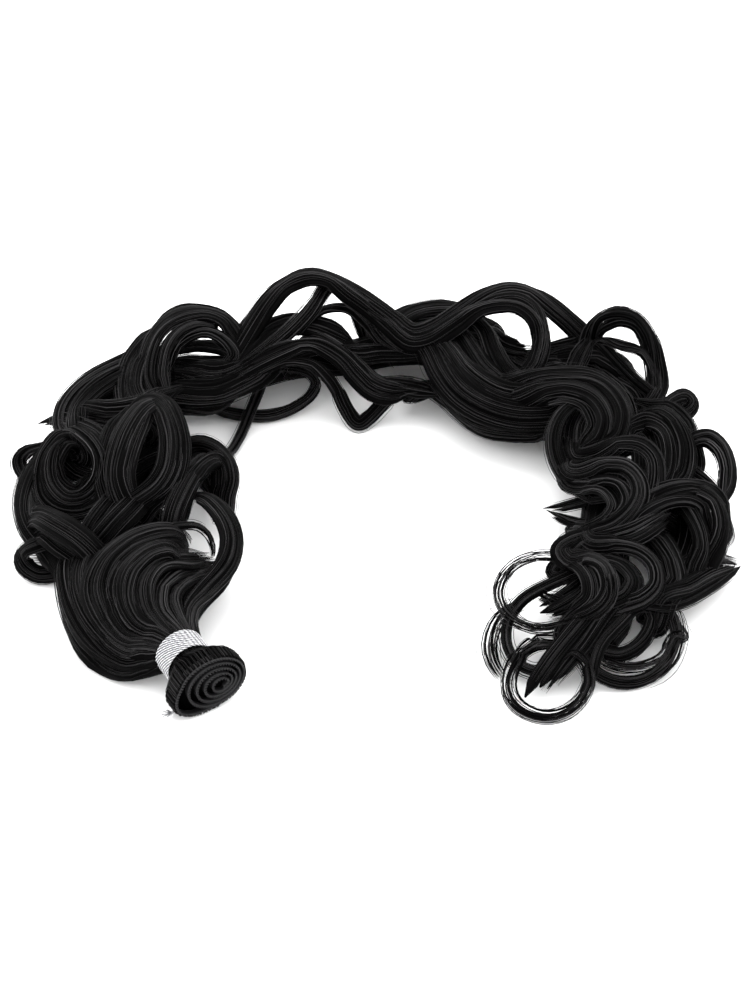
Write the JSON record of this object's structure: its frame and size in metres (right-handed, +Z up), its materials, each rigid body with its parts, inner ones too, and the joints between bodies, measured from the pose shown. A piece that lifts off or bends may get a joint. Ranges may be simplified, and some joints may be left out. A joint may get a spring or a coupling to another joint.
{
  "type": "hand-tied hair weft",
  "caption": "Curly hair weft laid in a horseshoe: sewn track rolled into a spiral, hair bound behind it with a wound cord, long ringlets fanning out.",
  "frame": {"origin": "centre of the laid object's box, on the table under it", "axes": "+Z up from the table, +X from the bound end towards the tips, -Y out of the horseshoe's open side"},
  "size_m": [0.2762, 0.2334, 0.0474],
  "materials": {
    "track": "black sewn thread over knotted hair, matt",
    "cord": "silver-white twisted cord, soft sheen",
    "hair": "jet black curled hair, satin"
  },
  "bodies": {
    "root": {"weft_track": "track", "tie_cord": "cord", "hair_tress": "hair"}
  },
  "joints": []
}
